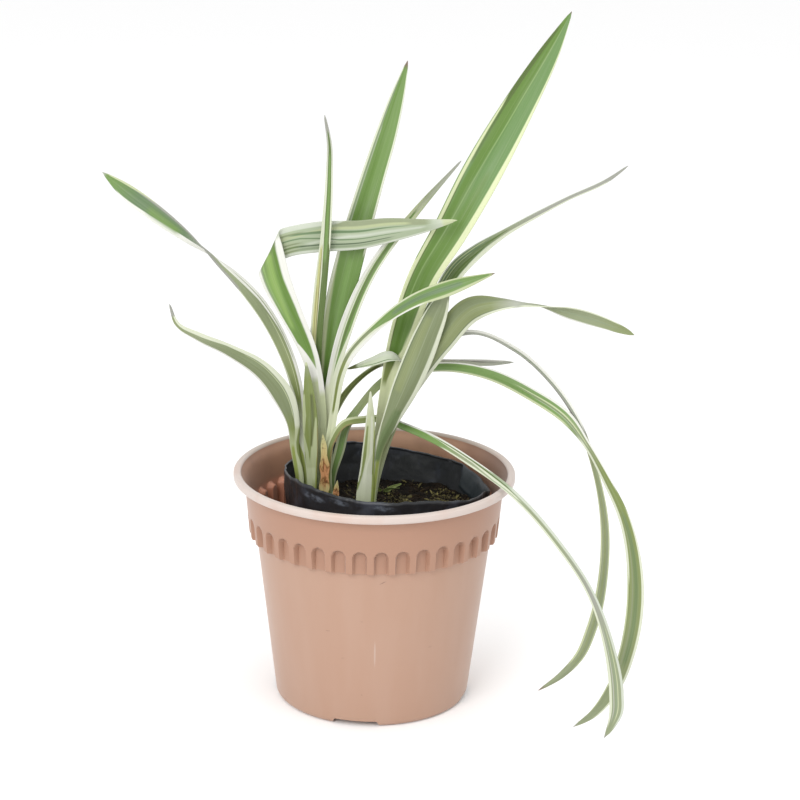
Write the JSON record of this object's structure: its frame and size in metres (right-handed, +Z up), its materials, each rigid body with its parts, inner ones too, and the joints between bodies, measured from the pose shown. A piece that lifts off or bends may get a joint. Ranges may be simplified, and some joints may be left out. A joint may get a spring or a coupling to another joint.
{
  "type": "potted flax lily",
  "caption": "Variegated strap-leaved house plant in a black nursery bag of soil, standing in a round tapered plastic pot with a rolled rim and a collar of arched recesses.",
  "frame": {"origin": "centre of the pot's flat bottom, on the surface that it stands on", "axes": "+Z up along the pot's axis; -Y towards the pictured front, which the drooping leaves lean to; +X to the right as seen from the front, towards the taller fan's tip"},
  "size_m": [0.3426, 0.1971, 0.4412],
  "materials": {
    "terracotta_plastic": "satin",
    "black_film": "satin",
    "potting_soil": "matte",
    "leaf_upper_face": "satin",
    "leaf_under_face": "satin",
    "leaf_pale": "satin",
    "dry_sheath": "matte",
    "seedling_green": "satin"
  },
  "bodies": {
    "root": {"pot": "terracotta_plastic", "nursery_bag": "black_film", "soil": "potting_soil", "leaf_left_low": "leaf_under_face", "leaf_left_high": "leaf_under_face", "leaf_left_short": "leaf_upper_face", "leaf_left_thin_upright": "leaf_upper_face", "leaf_left_folded_over": "leaf_upper_face", "leaf_left_tall": "leaf_upper_face", "leaf_left_cream_edge": "leaf_upper_face", "leaf_left_cross_right": "leaf_upper_face", "leaf_left_olive_behind": "leaf_upper_face", "leaf_left_long_arch": "leaf_upper_face", "leaf_left_droop": "leaf_upper_face", "leaf_right_short": "leaf_pale", "leaf_right_front": "leaf_under_face", "leaf_right_wave": "leaf_under_face", "leaf_right_pale_cross": "leaf_pale", "leaf_right_thin_droop": "leaf_under_face", "leaf_right_tallest": "leaf_upper_face", "leaf_right_narrow_high": "leaf_upper_face", "dried_sheath": "dry_sheath", "weed_seedling": "seedling_green"}
  },
  "joints": []
}
